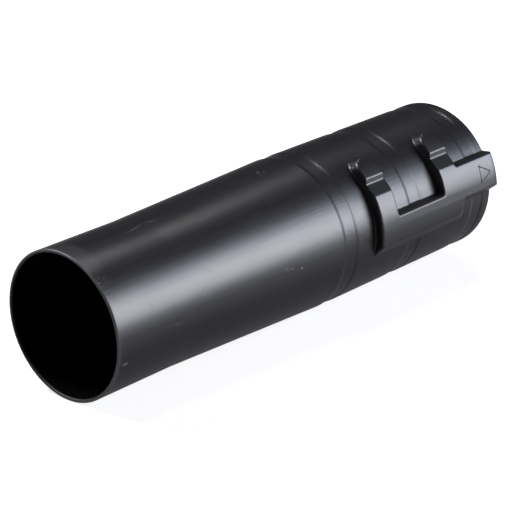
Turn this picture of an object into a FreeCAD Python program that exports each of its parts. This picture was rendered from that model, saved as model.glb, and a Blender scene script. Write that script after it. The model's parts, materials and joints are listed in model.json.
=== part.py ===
"""Leaf blower nozzle tube: one blow-moulded tube with a two-step bayonet channel on each side.

Millimetres and degrees. The tube is drawn along +X from its mouth to its rear rim, then laid on its side.
Its skin is drawn twice, outside and one wall further in, and the inner form is taken out of the outer one.
"""
import FreeCAD, Part
import math
import os
from FreeCAD import Vector

# Tube, with the sizes inside its wall as the ones that the air and the blower's pipe need
tube_length = 309.7
wall = 1.8
mouth_bore_radius = 39.65
outlet_length = 55.0
guide_radius = 42.95
mouth_chamfer = 0.4
rim_bevel_length = 1.4
rim_bevel_depth = 0.9

# Guide grooves: each floor stands inside as a low ring that rides on the blower's pipe
groove_front_to_rim = (138.3, 79.3, 19.7)
groove_length = 13.4
groove_depth = 0.45
groove_front_ramp = 2.4
groove_rear_ramp = 3.6

# Bayonet channel: the way that the blower's pin takes, pressed outwards from the tube's wall
channel_count = 2
channel_height = 5.7
draw_angle = 64.5
hook_to_rim = (102.8, 43.8)
hook_width = 15.8
hook_tip = 28.2
notch_foot = 7.4
notch_lean = 30.5
entry_upper_foot = 5.1
entry_upper_lean = 18.6
entry_lower_foot = 18.45
entry_lower_lean = 14.7
bar_lower_foot = 28.4
bar_lower_lean = 21.6
bar_rear_foot_to_rim = 27.2
bar_rear_lean = 56.0
inner_corner_round = 1.4
bar_rear_round = 7.5
bar_front_round = 1.5
brow_round = 1.1

# Detent in each hook: a ramp that the pin climbs and a steep lock that then holds it
detent_crest = 4.9
detent_ramp = 8.4
detent_lock = 2.9
detent_depth = 2.0
detent_round = 1.3

# How the tube lies: turned about its own axis so that the channel faces up and to the side
lying_turn = 2.3

# Sizes that follow from the ones above
mouth_radius = mouth_bore_radius + wall
groove_floor_radius = guide_radius + wall
sleeve_radius = groove_floor_radius + groove_depth
crown_radius = sleeve_radius + channel_height
groove_places = [tube_length - distance for distance in groove_front_to_rim]
hook_places = [tube_length - distance for distance in hook_to_rim]
deep_level = sleeve_radius / 2
high_level = crown_radius + wall
axis = Vector(1, 0, 0)
origin = Vector(0, 0, 0)
upper, lower = -1, 1
underneath = 180


def around(radius, angle, place):
    """Point at a radius, at an angle from the top towards -Y, and at a place along the tube."""
    turn = math.radians(angle)
    return Vector(place, -radius * math.sin(turn), radius * math.cos(turn))


def drawn(place, offset, level):
    """Point at a place along the tube, an offset below the draw line and a level out along it."""
    return Vector(place, 0, 0) + around(offset, draw_angle + 90, 0) + around(level, draw_angle, 0)


def rounded_outline(corners, start):
    """Closed outline across the tube through (spot, radius) corners, with a tangent arc at each radius."""
    runs = []
    for i, (here, radius) in enumerate(corners):
        if radius == 0:
            runs.append((here, here))
            continue
        back = (corners[i - 1][0] - here).normalize()
        ahead = (corners[(i + 1) % len(corners)][0] - here).normalize()
        half = back.getAngle(ahead) / 2
        reach = radius / math.tan(half)
        middle = here + (back + ahead).normalize() * (radius / math.sin(half) - radius)
        runs.append((here + back * reach, middle, here + ahead * reach))
    edges = []
    for i, run in enumerate(runs):
        if len(run) == 3:
            edges.append(Part.Arc(*run).toShape())
        edges.append(Part.LineSegment(run[-1], runs[(i + 1) % len(runs)][0]).toShape())
    outline = Part.Wire(edges)
    outline.translate(axis * start)
    return outline


def body(inset, overrun):
    """Round body of the tube, with its skin moved in by inset and its ends moved out by overrun."""
    profile = [(-overrun, mouth_radius), (outlet_length, mouth_radius)]
    for place in groove_places:
        end = place + groove_length
        profile.append((place, sleeve_radius))
        profile.append((place + groove_front_ramp, groove_floor_radius))
        profile.append((end - groove_rear_ramp, groove_floor_radius))
        profile.append((end, sleeve_radius))
    if inset == 0:
        profile.append((tube_length - rim_bevel_length, sleeve_radius))
        profile.append((tube_length, sleeve_radius - rim_bevel_depth))
    else:
        profile.append((tube_length + overrun, sleeve_radius))
    corners = [around(radius - inset, underneath, place) for place, radius in profile]
    corners += [axis * (tube_length + overrun), axis * -overrun]
    return Part.Face(Part.makePolygon(corners + corners[:1])).revolve(origin, axis, 360)


def foot_level(offset):
    """Level of the sleeve's skin at an offset from the draw line."""
    return math.sqrt(sleeve_radius ** 2 - offset ** 2)


def wall_offset(foot, lean, side, level, inset):
    """Offset at a level of a wall that stands on its foot and leans over the channel."""
    turn = math.radians(lean)
    return foot - side * ((level - foot_level(foot)) * math.tan(turn) + inset / math.cos(turn))


def beam(upper_wall, lower_wall, start, end, inset):
    """Straight run of the channel between two leaning walls, moved in by inset."""
    corners = []
    for foot_and_lean, side, levels in (
        (upper_wall, upper, (deep_level, high_level)),
        (lower_wall, lower, (high_level, deep_level)),
    ):
        for level in levels:
            corners.append(drawn(start, wall_offset(*foot_and_lean, side, level, inset), level))
    section = Part.Face(Part.makePolygon(corners + corners[:1]))
    return section.extrude(axis * (end - start))


def hook(place, inset):
    """Arm of the channel with a half-round tip, drawn straight out, moved in by inset."""
    half = hook_width / 2 - inset
    tip = inset - hook_tip
    root = (notch_foot + bar_lower_foot) / 2
    shoulder = tip + half
    tip_points = [drawn(place + along, offset, deep_level)
                  for along, offset in ((-half, shoulder), (0, tip), (half, shoulder))]
    root_points = [drawn(place + along, root, deep_level) for along in (half, -half)]
    sides = Part.makePolygon([tip_points[2]] + root_points + [tip_points[0]])
    outline = Part.Wire([Part.Arc(*tip_points).toShape()] + sides.Edges)
    return Part.Face(outline).extrude(around(high_level - deep_level, draw_angle, 0))


def bar_rear_angle():
    """Angle around the tube at the middle of the bar's rear slope."""
    middle = (entry_lower_foot + bar_lower_foot) / 2
    return draw_angle + math.degrees(math.asin(middle / sleeve_radius))


def bar_rear_place(spot, inset):
    """Place along the tube of the bar's rear slope below or above a point."""
    turn = math.radians(bar_rear_lean)
    height = spot.dot(around(1, bar_rear_angle(), 0)) - sleeve_radius
    return tube_length - bar_rear_foot_to_rim - height * math.tan(turn) - inset / math.cos(turn)


def behind_bar(inset):
    """All that lies behind the bar's rear slope."""
    side = around(crown_radius, bar_rear_angle() + 90, 0)
    corners = []
    for level in (deep_level, high_level):
        spot = around(level, bar_rear_angle(), 0)
        corners.append(spot - side + axis * bar_rear_place(spot, inset))
    corners += [corners[1] + axis * tube_length, corners[0] + axis * tube_length]
    return Part.Face(Part.makePolygon(corners + corners[:1])).extrude(side * 2)


def edge_at(shape, spot):
    """Edge of a shape that passes through a point."""
    mark = Part.Vertex(spot)
    return min(shape.Edges, key=lambda edge: edge.distToShape(mark)[0])


def round_corners(solid, inset):
    """Rounds the upright edges where the channel's walls meet in plan."""
    half = hook_width / 2 - inset
    front, back = hook_places
    bar_rear = None
    for place, foot, lean, side, rounding in (
        (front + half, notch_foot, notch_lean, upper, inner_corner_round + inset),
        (back - half, notch_foot, notch_lean, upper, inner_corner_round + inset),
        (back + half, -entry_upper_foot, entry_upper_lean, upper, inner_corner_round + inset),
        (bar_rear, entry_lower_foot, entry_lower_lean, lower, inner_corner_round + inset),
        (bar_rear, bar_lower_foot, bar_lower_lean, lower, bar_rear_round - inset),
        (front - half, bar_lower_foot, bar_lower_lean, lower, bar_front_round),
    ):
        level = foot_level(foot)
        spot = drawn(0, wall_offset(foot, lean, side, level, inset), level)
        spot.x = bar_rear_place(spot, inset) if place is bar_rear else place
        solid = solid.makeFillet(rounding, [edge_at(solid, spot)]).Solids[0]
    return solid


def round_brow(solid):
    """Rounds every edge of the crown apart from its end at the rear rim."""
    brow = []
    for edge in solid.Edges:
        middle = edge.valueAt((edge.FirstParameter + edge.LastParameter) / 2)
        on_crown = math.hypot(middle.y, middle.z) > crown_radius - brow_round / 100
        if on_crown and middle.x < tube_length - brow_round / 100:
            brow.append(edge)
    return solid.makeFillet(brow_round, brow).Solids[0]


def bevel_crown_end(solid):
    """Bevels the crown's end at the rear rim, as the sleeve's."""
    slope = rim_bevel_depth / rim_bevel_length
    wide_end = crown_radius - rim_bevel_depth + tube_length * slope
    narrow_end = crown_radius - rim_bevel_depth - wall * slope
    cone = Part.makeCone(wide_end, narrow_end, tube_length + wall, origin, axis)
    return solid.common(cone).Solids[0]


def detent_cut(place, inset):
    """What the detent takes off a hook's crown: a ramp, a rounded foot and a steep rounded lock."""
    crown = crown_radius - inset
    clear = crown + detent_ramp
    crest_angle = draw_angle - math.degrees(math.asin(detent_crest / crown_radius))
    foot_angle = crest_angle - math.degrees(detent_ramp / crown_radius)
    lock_angle = foot_angle - math.degrees(detent_lock / crown_radius)
    clear_angle = lock_angle - math.degrees(math.acos(crown / clear))
    crest = around(crown, crest_angle, 0)
    foot = around(crown - detent_depth, foot_angle, 0)
    past_crest = crest + (crest - foot) / 2
    lock = around(crown, lock_angle, 0)
    clear_of_lock = around(clear, clear_angle, 0)
    clear_of_crest = around(clear, crest_angle, 0)
    corners = [
        (past_crest, 0),
        (foot, detent_round),
        (lock, detent_round),
        (clear_of_lock, 0),
        (clear_of_crest, 0),
    ]
    outline = rounded_outline(corners, place - hook_width)
    return Part.Face(outline).extrude(axis * (2 * hook_width))


def channel(inset, overrun):
    """One bayonet channel, moved in by inset and run past the rear rim by overrun."""
    front, back = hook_places
    notch = (notch_foot, notch_lean)
    bar_lower = (bar_lower_foot, bar_lower_lean)
    entry_upper = (-entry_upper_foot, entry_upper_lean)
    entry_lower = (entry_lower_foot, entry_lower_lean)
    bar = beam(notch, bar_lower, front - hook_width / 2 + inset, tube_length, inset)
    entry = beam(entry_upper, entry_lower, back, tube_length + overrun, inset)
    pieces = [entry] + [hook(place, inset) for place in hook_places]
    solid = bar.cut(behind_bar(inset)).fuse(pieces).removeSplitter()
    crown = Part.makeCylinder(crown_radius - inset, tube_length + overrun, origin, axis)
    solid = round_corners(solid.common(crown).Solids[0], inset)
    if inset == 0:
        solid = bevel_crown_end(round_brow(solid))
    return solid.cut([detent_cut(place, inset) for place in hook_places])


def skin(inset, overrun):
    """The whole tube as a filled form, moved in by inset and with its ends moved out by overrun."""
    pieces = []
    for number in range(channel_count):
        piece = channel(inset, overrun)
        piece.rotate(origin, axis, number * 360 / channel_count)
        pieces.append(piece)
    return body(inset, overrun).fuse(pieces).removeSplitter()


def break_mouth_edges(solid):
    """Takes the sharpness off both edges of the mouth."""
    edges = [edge for edge in solid.Edges if edge.BoundBox.XMax < mouth_chamfer / 2]
    return solid.makeChamfer(mouth_chamfer, edges).Solids[0]


def lay_down(solid):
    """Lays the tube on the edges of its mouth and its first groove, over the origin."""
    tilt = math.degrees(math.atan2(sleeve_radius - mouth_radius, groove_places[0]))
    solid.rotate(origin, axis, lying_turn)
    solid.rotate(origin, Vector(0, 1, 0), -tilt)
    box = solid.optimalBoundingBox()
    solid.translate(Vector(-box.Center.x, -box.Center.y, -box.ZMin))
    return solid


os.makedirs("parts", exist_ok=True)
hollow = skin(0, 0).cut(skin(wall, wall)).Solids[0]
nozzle_tube = lay_down(break_mouth_edges(hollow))
nozzle_tube.exportStep("parts/nozzle_tube.step")
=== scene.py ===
"""Leaf blower nozzle tube, lying as it comes to rest on a pale floor.

Metres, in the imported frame. Places count from the mouth along the tube, and angles from its top over the
side that faces the camera, both before the tube is laid down.
"""
import json
import math

import bpy
import numpy as np
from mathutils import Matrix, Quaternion, Vector


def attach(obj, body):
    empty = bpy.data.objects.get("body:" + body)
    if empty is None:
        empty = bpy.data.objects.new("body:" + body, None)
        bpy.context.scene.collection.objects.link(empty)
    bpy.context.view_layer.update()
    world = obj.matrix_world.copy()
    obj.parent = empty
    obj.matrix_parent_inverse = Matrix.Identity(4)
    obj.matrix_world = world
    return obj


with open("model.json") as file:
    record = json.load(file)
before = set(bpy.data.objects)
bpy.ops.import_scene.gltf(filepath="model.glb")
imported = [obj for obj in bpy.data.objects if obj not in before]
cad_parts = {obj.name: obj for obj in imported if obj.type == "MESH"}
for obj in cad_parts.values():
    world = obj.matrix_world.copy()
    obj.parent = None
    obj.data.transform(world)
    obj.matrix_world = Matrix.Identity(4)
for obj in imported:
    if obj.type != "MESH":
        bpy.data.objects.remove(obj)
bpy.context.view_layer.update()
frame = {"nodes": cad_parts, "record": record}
scene = bpy.context.scene

# The tube is one blow moulding in black polyethylene, and the imported solid shows its form as it is.
# Its satin skin has die lines along the tube and a fine grain, and its edges and groove ramps are soft.
# Use has worn the lip pale, dulled and speckled the skin behind it and left a few scratches, and the lip's
# pale edge is also a painted highlight. The bore is a darker black as painted shade.
tube = frame["nodes"]["nozzle_tube"]
blower_socket = frame["record"]["mounts"][0]
socket_end = Vector(blower_socket["pos_m"])
socket_end_place = 0.2998
axis_along = Vector(blower_socket["axis"])
lying_turn = math.radians(2.3)

# Each noise is its cells per metre and its detail, and a pair of limits is a smooth step's start and end.
black_dull = (0.0042, 0.0038, 0.0045, 1)
black_fresh = (0.0075, 0.0068, 0.0080, 1)
# The bore's darker black is painted shade.
painted_bore_shade = (0.0015, 0.0014, 0.0016, 1)
pale = (0.11, 0.11, 0.115, 1)
satin_roughness = 0.3
cloud_noise = (35, 4)
cloud_roughness = 0.05
bore_reach = 0.0403
cut_edge = (0.0005, 0.002)
cut_edge_roughness = 0.15
bore_smoothness = 0.3

die_noise = (1700, 3)
die_stretch = 340
die_tint = (0.35, 0.7)
die_roughness = 0.07
die_depth = 0.00006
die_depth_at_mouth = 0.4
die_depth_grows = (0.05, 0.2)
grain_noise = (1800, 2)
grain_depth = 0.000008
edge_softness = 0.0013
edge_samples = 12
skin_reach = 0.0456
ramp_middles = (0.1830, 0.2420, 0.3016)
ramp_half = 0.0018
ramp_swell = 0.00008
crown_end_start = 0.3055
crown_end_round = 0.03

worn_roughness = 0.2
# The lip's pale edge is partly wear and partly a painted highlight.
lip_wear_and_highlight = (0.0004, 0.0014)
lip_wear_and_highlight_share = 0.35
nick_band = (0.0002, 0.0045)
nick_noise = (1500, 2)
nick_stretch = 25
nick_cut = (0.5, 0.7)
nick_share = 0.4
speck_band = (0.003, 0.011)
speck_side = ((0.40, 0.52), (0.70, 0.85))
speck_noise = (1600, 2)
speck_cut = (0.58, 0.68)
speck_share = 0.9
dulled_band = (0.009, 0.0125)
dulled_side = ((-0.3, 0.0), (0.4, 0.6))
dulled_share = 0.12

# Each scratch is its start and end, as places and angles in degrees, its bow, its half width and its share.
scratches = (
    ((0.0784, 70.5), (0.0608, 80.5), 0.0028, 0.0004, 0.45),
    ((0.0226, 64.8), (0.0276, 75.7), -0.0014, 0.0006, 0.675),
    ((0.0432, 7.9), (0.0552, 4.5), 0.0, 0.0008, 0.42),
    ((0.0540, 3.0), (0.0640, 6.7), 0.0, 0.0007, 0.42),
    ((0.1490, -1.0), (0.1475, 8.0), 0.0012, 0.0009, 0.45),
    ((0.1520, 1.0), (0.1500, 6.0), 0.0, 0.0008, 0.33),
    ((0.0681, 59.6), (0.0752, 65.4), 0.0, 0.0007, 0.525),
    ((0.1240, 82.7), (0.1258, 83.0), 0.0, 0.0008, 0.90),
    ((0.1282, 84.3), (0.1298, 84.6), 0.0, 0.0007, 0.75),
    ((0.1355, 86.5), (0.1378, 86.8), 0.0, 0.0008, 0.90),
    ((0.0029, 104.3), (0.0070, 104.0), 0.0, 0.0008, 1.35),
    ((0.0400, 89.5), (0.0460, 91.6), 0.0, 0.0010, 0.27),
    ((0.0188, 15.7), (0.0212, 22.6), 0.0, 0.0006, 0.375),
)
scratched_radius = 0.0434
scratch_core = 0.3
scratch_ends = ((-0.02, 0.1), (0.8, 1.02))
scratch_break_noise = (900, 3)
scratch_break_cut = (0.38, 0.6)


class Shade:
    """A shader value: operators on it add Math nodes, and node() adds any other node."""

    def __init__(self, tree, link=None):
        self.tree = tree
        self.link = link

    def node(self, kind, settings=None, inputs=None, output=0):
        """Adds a node, sets its settings and then its sockets, and gives one of its outputs."""
        made = self.tree.nodes.new(kind)
        for name, value in (settings or {}).items():
            setattr(made, name, value)
        for name, value in (inputs or {}).items():
            if isinstance(value, Shade):
                self.tree.links.new(value.link, made.inputs[name])
            else:
                made.inputs[name].default_value = value
        return Shade(self.tree, made.outputs[output])

    def feed(self, shader, name):
        """Links this value to a shader's socket."""
        self.tree.links.new(self.link, shader.inputs[name])

    def math(self, operation, *values):
        """Math node on this value and up to two more."""
        return self.node("ShaderNodeMath", {"operation": operation}, dict(enumerate((self, *values))))

    def __add__(self, other):
        return self.math("ADD", other)

    def __sub__(self, other):
        return self.math("SUBTRACT", other)

    def __rsub__(self, other):
        return self * -1 + other

    def __mul__(self, other):
        return self.math("MULTIPLY", other)

    __radd__ = __add__
    __rmul__ = __mul__

    def step(self, low, high):
        """Smooth step from 0 at low to 1 at high."""
        settings = {"interpolation_type": "SMOOTHSTEP"}
        return self.node("ShaderNodeMapRange", settings, {"Value": self, "From Min": low, "From Max": high})

    def band(self, rise, fall):
        """1 between two smooth borders, each given by where it starts and ends, and 0 outside them."""
        return self.step(*rise) * (1 - self.step(*fall))

    def noise(self, cells, detail):
        """Noise at this spot, with so many cells to the metre."""
        return self.node("ShaderNodeTexNoise", None, {"Vector": self, "Scale": cells, "Detail": detail})

    def mixed(self, first, second):
        """Colour between two colours, with this value as the share of the second."""
        return self.node("ShaderNodeMix", {"data_type": "RGBA"}, {0: self, 6: first, 7: second}, 2)


class Spot:
    """A shaded point: its place along the tube, angle around it and distance from its axis."""

    def __init__(self, shade):
        self.free = shade.node("ShaderNodeTexCoord", output="Object")
        x, y, z = (shade.node("ShaderNodeSeparateXYZ", None, {0: self.free}, axis) for axis in range(3))
        ahead = x - socket_end.x
        above = z - socket_end.z
        self.sideways = y
        self.upward = above * axis_along.x - ahead * axis_along.z
        self.place = ahead * axis_along.x + above * axis_along.z + socket_end_place
        self.angle = (y * -1).math("ARCTAN2", self.upward) - lying_turn
        self.distance = (y * y + self.upward * self.upward).math("SQRT")

    def stretched(self, stretch):
        """The point in the tube's own directions, with its place divided by the stretch."""
        parts = {0: self.place * (1 / stretch), 1: self.sideways, 2: self.upward}
        return self.place.node("ShaderNodeCombineXYZ", None, parts)


def new_material(name):
    """An empty material with a Principled shader, and the shade that adds nodes to it."""
    material = bpy.data.materials.new(name)
    material.use_nodes = True
    tree = material.node_tree
    tree.nodes.clear()
    shader = tree.nodes.new("ShaderNodeBsdfPrincipled")
    output = tree.nodes.new("ShaderNodeOutputMaterial")
    tree.links.new(shader.outputs["BSDF"], output.inputs["Surface"])
    return material, shader, Shade(tree)


def scratch(spot, start, end, bow, half_width):
    """Share of a scratch: 1 on a line from start to end that bows sideways as a parabola, 0 beside it."""
    line = Vector((end[0] - start[0], math.radians(end[1] - start[1]) * scratched_radius))
    reach = line.length
    line.normalize()
    ahead = spot.place - start[0]
    aside = (spot.angle - math.radians(start[1])) * scratched_radius
    run = (ahead * line.x + aside * line.y) * (1 / reach)
    off = (aside * line.x - ahead * line.y - run * (1 - run) * (4 * bow)).math("ABSOLUTE")
    return (1 - off.step(half_width * scratch_core, half_width)) * run.band(*scratch_ends)


def wear_and_lip_highlight_share(spot):
    """Share of pale plastic: the lip's edge and nicks, specks and a dulled band behind it, scratches.

    The lip's pale edge is partly wear and partly a painted highlight.
    """
    nicks = spot.stretched(nick_stretch).noise(*nick_noise).step(*nick_cut)
    nicks = nicks * (1 - spot.place.step(*nick_band))
    specks = spot.free.noise(*speck_noise).step(*speck_cut) * (1 - spot.place.step(*speck_band))
    specks = specks * spot.angle.band(*speck_side)
    dulled = (1 - spot.place.step(*dulled_band)) * spot.angle.band(*dulled_side)
    # The lip's pale edge is partly wear and partly a painted highlight.
    wear_and_lip_highlight = nicks * nick_share + (1 - spot.place.step(*lip_wear_and_highlight)) * lip_wear_and_highlight_share
    wear_and_lip_highlight = wear_and_lip_highlight + specks * speck_share + dulled * dulled_share
    broken = spot.free.noise(*scratch_break_noise).step(*scratch_break_cut)
    for start, end, bow, half_width, share in scratches:
        wear_and_lip_highlight = wear_and_lip_highlight + scratch(spot, start, end, bow, half_width) * broken * share
    return wear_and_lip_highlight


def moulded_relief(spot, die_lines):
    """Height of the real surface over the solid: grain, die lines, soft ramps and the channel's round end.

    A ramp's height is one wave of a sine over its length. The channel falls away at its end by the square
    of the way past the round's start over twice the round's radius.
    """
    on_skin = spot.distance.math("LESS_THAN", skin_reach)
    past_start = (spot.place - crown_end_start).math("MAXIMUM", 0.0)
    fall = past_start * past_start * (1 / (2 * crown_end_round)) * (1 - on_skin)
    relief = spot.free.noise(*grain_noise) * grain_depth - fall
    lined = on_skin
    for middle in ramp_middles:
        along_ramp = (spot.place - middle) * (1 / ramp_half)
        within = along_ramp.math("ABSOLUTE").math("LESS_THAN", 1.0)
        relief = relief + (along_ramp * math.pi).math("SINE") * within * on_skin * ramp_swell
        lined = lined * (1 - within)
    depth = die_depth_at_mouth + spot.place.step(*die_depth_grows) * (1 - die_depth_at_mouth)
    return relief + die_lines * lined * depth * die_depth


def satin_black_plastic():
    """Black plastic whose die lines follow the tube, with soft edges, a smooth bore and wear.

    The bore is painted a darker black as shade, and the lip's pale edge is partly a painted highlight.
    """
    material, shader, shade = new_material("satin_black_plastic")
    spot = Spot(shade)
    die_lines = spot.stretched(die_stretch).noise(*die_noise)
    cloud = spot.free.noise(*cloud_noise)
    wear_and_lip_highlight = wear_and_lip_highlight_share(spot)
    # The bore is painted a darker black as shade.
    inside = spot.distance.math("LESS_THAN", bore_reach)
    skin = wear_and_lip_highlight.mixed(die_lines.step(*die_tint).mixed(black_dull, black_fresh), pale)
    inside.mixed(skin, painted_bore_shade).feed(shader, "Base Color")
    bore_roughness = cut_edge_roughness - spot.place.step(*cut_edge) * bore_smoothness
    roughness = satin_roughness + die_lines * die_roughness + cloud * cloud_roughness
    (roughness + wear_and_lip_highlight * worn_roughness + inside * bore_roughness).feed(shader, "Roughness")
    rounded = shade.node("ShaderNodeBevel", {"samples": edge_samples}, {"Radius": edge_softness})
    bump = {"Strength": 1.0, "Distance": 1.0, "Height": moulded_relief(spot, die_lines), "Normal": rounded}
    shade.node("ShaderNodeBump", None, bump).feed(shader, "Normal")
    return material


plastic = satin_black_plastic()
tube.material_slots[0].material = plastic

# The triangle shows where the blower's pin goes in.
# It is a fine raised line on the crown of the channel, cut into the mould and so of the same plastic.
crown_radius = 0.0509
mark_corners = np.array(((0.2940, 66.7), (0.3034, 72.8), (0.2935, 78.3)))
mark_line = 0.0010
mark_height = 0.0003
mark_sunk = 0.00006
mark_steps = 12
line_steps = 8


def on_tube(place, angle, radius):
    """Points of the laid tube at places along it, angles around it and radii from its axis."""
    turn = angle + lying_turn
    upward = np.array((-axis_along.z, 0, axis_along.x))
    sideways = np.array((0, -1, 0))
    out = np.cos(turn)[..., None] * upward + np.sin(turn)[..., None] * sideways
    along = (place - socket_end_place)[..., None] * np.array(axis_along)
    return np.array(socket_end) + along + radius[..., None] * out


def closed_surface(name, points, material):
    """Mesh object on a grid of points that closes on itself both ways, with its faces outward."""
    rows, columns = points.shape[:2]
    here = np.arange(rows * columns).reshape(rows, columns)
    next_row = np.roll(here, -1, axis=0)
    faces = np.stack((here, next_row, np.roll(next_row, -1, axis=1), np.roll(here, -1, axis=1)), axis=-1)
    mesh = bpy.data.meshes.new(name)
    mesh.from_pydata(points.reshape(-1, 3).tolist(), [], faces.reshape(-1, 4).tolist())
    mesh.shade_smooth()
    mesh.materials.append(material)
    made = bpy.data.objects.new(name, mesh)
    scene.collection.objects.link(made)
    return made


def mark_points():
    """Low rounded line carried round the triangle: straight sides that meet in mitres.

    Each spot is a spot on the side plus a step across times the mitre there, and the line's height is a
    squared cosine of that step, with the foot sunk a little under the crown and closed beneath.
    """
    flat = np.column_stack((mark_corners[:, 0], np.radians(mark_corners[:, 1]) * crown_radius))
    side = np.roll(flat, -1, axis=0) - flat
    side /= np.linalg.norm(side, axis=1)[:, None]
    outward = np.column_stack((side[:, 1], -side[:, 0]))
    before = np.roll(outward, 1, axis=0)
    mitre = (before + outward) / (1 + (before * outward).sum(axis=1))[:, None]
    share = np.linspace(0, 1, mark_steps, endpoint=False)[:, None, None]
    spine = (flat + share * (np.roll(flat, -1, axis=0) - flat)).swapaxes(0, 1).reshape(-1, 1, 2)
    lean = (mitre + share * (np.roll(mitre, -1, axis=0) - mitre)).swapaxes(0, 1).reshape(-1, 1, 2)
    step = np.linspace(-1, 1, line_steps + 1)
    top = mark_height * np.cos(step * math.pi / 2) ** 2 - mark_sunk
    lift = np.append(top, np.full(line_steps - 1, -2 * mark_sunk))
    step = np.append(step, step[-2:0:-1])
    spots = spine + lean * (step * mark_line / 2)[None, :, None]
    return on_tube(spots[..., 0], spots[..., 1] / crown_radius, crown_radius + lift)


mark = closed_surface("entry_triangle", mark_points(), plastic)
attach(mark, "root")

# The stage is a plain white floor that keeps the tube's soft shadow.
# It is painted board, white to the camera and only dimly mirrored by the satin plastic.
floor_half = 6.0
floor_drop = 0.0002
floor_paint = 0.35
floor_roughness = 0.9
floor_glow = 0.8
mirrored_share = 0.1
floor_corners = [(-1, -1), (1, -1), (1, 1), (-1, 1)]
floor_points = [(x * floor_half, y * floor_half, -floor_drop) for x, y in floor_corners]
floor_mesh = bpy.data.meshes.new("floor")
floor_mesh.from_pydata(floor_points, [], [(0, 1, 2, 3)])
floor = bpy.data.objects.new("floor", floor_mesh)
scene.collection.objects.link(floor)
board, board_shader, board_shade = new_material("white_board")
seen, mirrored, through = (
    board_shade.node("ShaderNodeLightPath", output=name)
    for name in ("Is Camera Ray", "Is Glossy Ray", "Is Transmission Ray")
)
glow = (seen + through + mirrored * mirrored_share) * floor_glow
glow_colour = board_shade.node("ShaderNodeCombineXYZ", None, {0: glow, 1: glow, 2: glow})
glow_colour.feed(board_shader, "Emission Color")
board_shader.inputs["Emission Strength"].default_value = 1.0
board_shader.inputs["Base Color"].default_value = (floor_paint, floor_paint, floor_paint, 1)
board_shader.inputs["Roughness"].default_value = floor_roughness
board_shader.inputs["Specular IOR Level"].default_value = 0.0
floor_mesh.materials.append(board)

# The light is a large softbox low on the right, for the long highlight, with a wide cool one round it.
# A small lamp high behind on the right draws the dim line near the top and the arcs of the grooves.
# Another behind on the left lights the lip and the hooks' tips, and the studio's walls fill a little.
tube_middle = (0, 0, 0.045)
mouth_top = (-0.15, 0, 0.08)
cone_top = (-0.05, 0, 0.08)
studio_colour = (1.0, 0.94, 1.04, 1)
studio_strength = 0.06


def softbox(name, aim, towards, distance, size, roll, power, colour):
    """Area lamp that stands off from a point in a direction and faces it, rolled about that line."""
    lamp = bpy.data.lights.new(name, "AREA")
    lamp.shape = "RECTANGLE"
    lamp.size, lamp.size_y = size
    lamp.energy = power
    lamp.color = colour
    stand = bpy.data.objects.new(name, lamp)
    scene.collection.objects.link(stand)
    direction = Vector(towards).normalized()
    stand.location = Vector(aim) + direction * distance
    facing = direction.to_track_quat("Z", "Y")
    stand.rotation_euler = (facing @ Quaternion((0, 0, 1), math.radians(roll))).to_euler()


softbox("key", tube_middle, towards=(0.569, -0.781, 0.256), distance=4.5, size=(3.32, 2.18), roll=-42.5,
        power=275.0, colour=(1.0, 0.966, 0.983))
softbox("halo", tube_middle, towards=(0.733, -0.680, -0.004), distance=4.7, size=(6.4, 5.0), roll=-42.5,
        power=335.0, colour=(0.54, 0.72, 1.0))
softbox("top", mouth_top, towards=(0.4996, 0.1303, 0.8564), distance=4.0, size=(0.5, 0.3), roll=-47.0,
        power=20.5, colour=(1, 0.98, 1))
softbox("back", cone_top, towards=(-0.25, 0.60, 0.75), distance=1.5, size=(0.25, 0.25), roll=0.0,
        power=32.0, colour=(0.94, 0.97, 1.0))
world = bpy.data.worlds.new("studio")
scene.world = world
world.use_nodes = True
world.node_tree.nodes["Background"].inputs["Color"].default_value = studio_colour
world.node_tree.nodes["Background"].inputs["Strength"].default_value = studio_strength

# The camera stands in front of the mouth on its left, a little above the tube, with a long lens.
# It is rolled by about a degree, so that the tube runs across the picture as in the photograph.
camera_eye = Vector((-0.76899, -0.69740, 0.41434))
camera_aim = Vector((-0.01907, -0.00990, 0.045))
camera_roll = math.radians(-0.918)
lens = bpy.data.cameras.new("camera")
lens.sensor_width = 36.0
lens.lens = 137.32
camera = bpy.data.objects.new("camera", lens)
scene.collection.objects.link(camera)
camera.location = camera_eye
facing = (camera_aim - camera_eye).to_track_quat("-Z", "Y")
camera.rotation_euler = (facing @ Quaternion((0, 0, 1), camera_roll)).to_euler()
scene.camera = camera
scene.view_settings.view_transform = "Standard"
